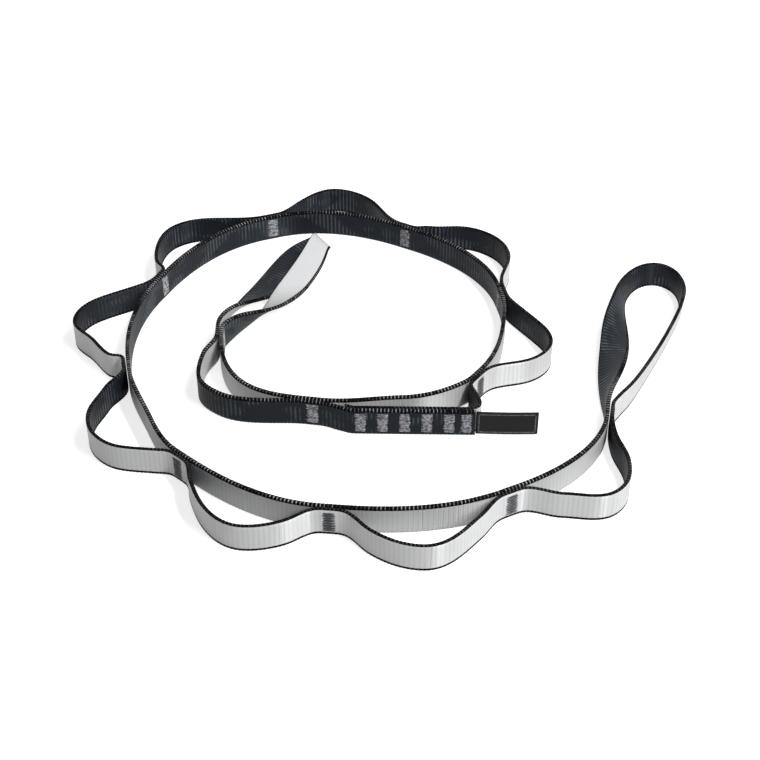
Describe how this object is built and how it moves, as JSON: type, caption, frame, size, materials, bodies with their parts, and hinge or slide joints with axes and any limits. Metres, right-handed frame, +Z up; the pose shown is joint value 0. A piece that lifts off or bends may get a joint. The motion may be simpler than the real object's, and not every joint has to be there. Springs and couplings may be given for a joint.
{
  "type": "daisy chain lanyard",
  "caption": "Flat webbing chain of bar-tacked pockets with a twisted eye loop at each end, laid on edge in a loose coil.",
  "frame": {"origin": "on the floor, under the middle of the laid coil", "axes": "+Z up out of the floor; +X along the longer side of the coil, towards the outer end loop; +Y away from the splice and label side"},
  "size_m": [0.347, 0.3218, 0.0163],
  "materials": {
    "webbing": "woven polyamide, pale grey on one face and near black on the other, black selvedges",
    "tack_thread": "dense zigzag of grey thread",
    "label_cloth": "satin woven tape, black and bare",
    "label_thread": "sewn thread, near black"
  },
  "bodies": {
    "outer_loop": {"outer_end_loop": "webbing"},
    "cell_01": {"spine_01": "webbing", "pocket_01": "webbing", "tack_01": "tack_thread"},
    "cell_02": {"spine_02": "webbing", "pocket_02": "webbing", "tack_02": "tack_thread"},
    "cell_03": {"spine_03": "webbing", "pocket_03": "webbing", "tack_03": "tack_thread"},
    "cell_04": {"spine_04": "webbing", "pocket_04": "webbing", "tack_04": "tack_thread"},
    "cell_05": {"spine_05": "webbing", "pocket_05": "webbing", "tack_05": "tack_thread"},
    "cell_06": {"spine_06": "webbing", "pocket_06": "webbing", "tack_06": "tack_thread"},
    "cell_07": {"spine_07": "webbing", "pocket_07": "webbing", "tack_07": "tack_thread"},
    "cell_08": {"spine_08": "webbing", "pocket_08": "webbing", "tack_08": "tack_thread"},
    "cell_09": {"spine_09": "webbing", "pocket_09": "webbing", "tack_09": "tack_thread"},
    "cell_10": {"spine_10": "webbing", "tack_10": "tack_thread", "splice_near_strand": "webbing", "splice_far_strand": "webbing", "splice_tack_1": "tack_thread", "splice_tack_2": "tack_thread", "splice_tack_3": "tack_thread", "splice_tack_4": "tack_thread", "splice_tack_5": "tack_thread", "splice_tack_6": "tack_thread"},
    "cell_11": {"spine_11": "webbing", "pocket_11": "webbing", "tack_11": "tack_thread"},
    "inner_loop": {"inner_end_loop": "webbing", "tack_12": "tack_thread"},
    "label_flap": {"label": "label_cloth", "label_border": "label_thread"}
  },
  "joints": [
    {"name": "bend_01", "type": "hinge", "parent": "cell_01", "child": "outer_loop", "pos_m": [0.11823, -0.05443, 0.008], "axis": [0, 0, -1], "range_deg": [0, 45]},
    {"name": "bend_02", "type": "hinge", "parent": "cell_02", "child": "cell_01", "pos_m": [0.0646, -0.12183, 0.008], "axis": [0, 0, -1], "range_deg": [0, 45]},
    {"name": "bend_03", "type": "hinge", "parent": "cell_03", "child": "cell_02", "pos_m": [-0.02289, -0.1367, 0.008], "axis": [0, 0, -1], "range_deg": [0, 45]},
    {"name": "bend_04", "type": "hinge", "parent": "cell_04", "child": "cell_03", "pos_m": [-0.1, -0.10036, 0.008], "axis": [0, 0, -1], "range_deg": [0, 45]},
    {"name": "bend_05", "type": "hinge", "parent": "cell_05", "child": "cell_04", "pos_m": [-0.14008, -0.02433, 0.008], "axis": [0, 0, -1], "range_deg": [0, 45]},
    {"name": "bend_06", "type": "hinge", "parent": "cell_06", "child": "cell_05", "pos_m": [-0.13353, 0.06156, 0.008], "axis": [0, 0, -1], "range_deg": [0, 45]},
    {"name": "bend_07", "type": "hinge", "parent": "cell_06", "child": "cell_07", "pos_m": [-0.07445, 0.1289, 0.008], "axis": [0, 0, 1], "range_deg": [0, 10]},
    {"name": "bend_08", "type": "hinge", "parent": "cell_07", "child": "cell_08", "pos_m": [0.01035, 0.12103, 0.008], "axis": [0, 0, 1], "range_deg": [0, 10]},
    {"name": "bend_09", "type": "hinge", "parent": "cell_08", "child": "cell_09", "pos_m": [0.06817, 0.05379, 0.008], "axis": [0, 0, 1], "range_deg": [0, 15]},
    {"name": "bend_10", "type": "hinge", "parent": "cell_09", "child": "cell_10", "pos_m": [0.05298, -0.02867, 0.008], "axis": [0, 0, 1], "range_deg": [0, 20]},
    {"name": "bend_11", "type": "hinge", "parent": "cell_10", "child": "cell_11", "pos_m": [-0.0336, -0.05541, 0.008], "axis": [0, 0, 1], "range_deg": [0, 9]},
    {"name": "bend_12", "type": "hinge", "parent": "cell_11", "child": "inner_loop", "pos_m": [-0.08874, 0.00529, 0.008], "axis": [0, 0, -1], "range_deg": [0, 45]},
    {"name": "label_flip", "type": "hinge", "parent": "cell_10", "child": "label_flap", "pos_m": [0.04629, -0.06236, 0.008], "axis": [0, 0, -1], "range_deg": [0, 60]}
  ]
}
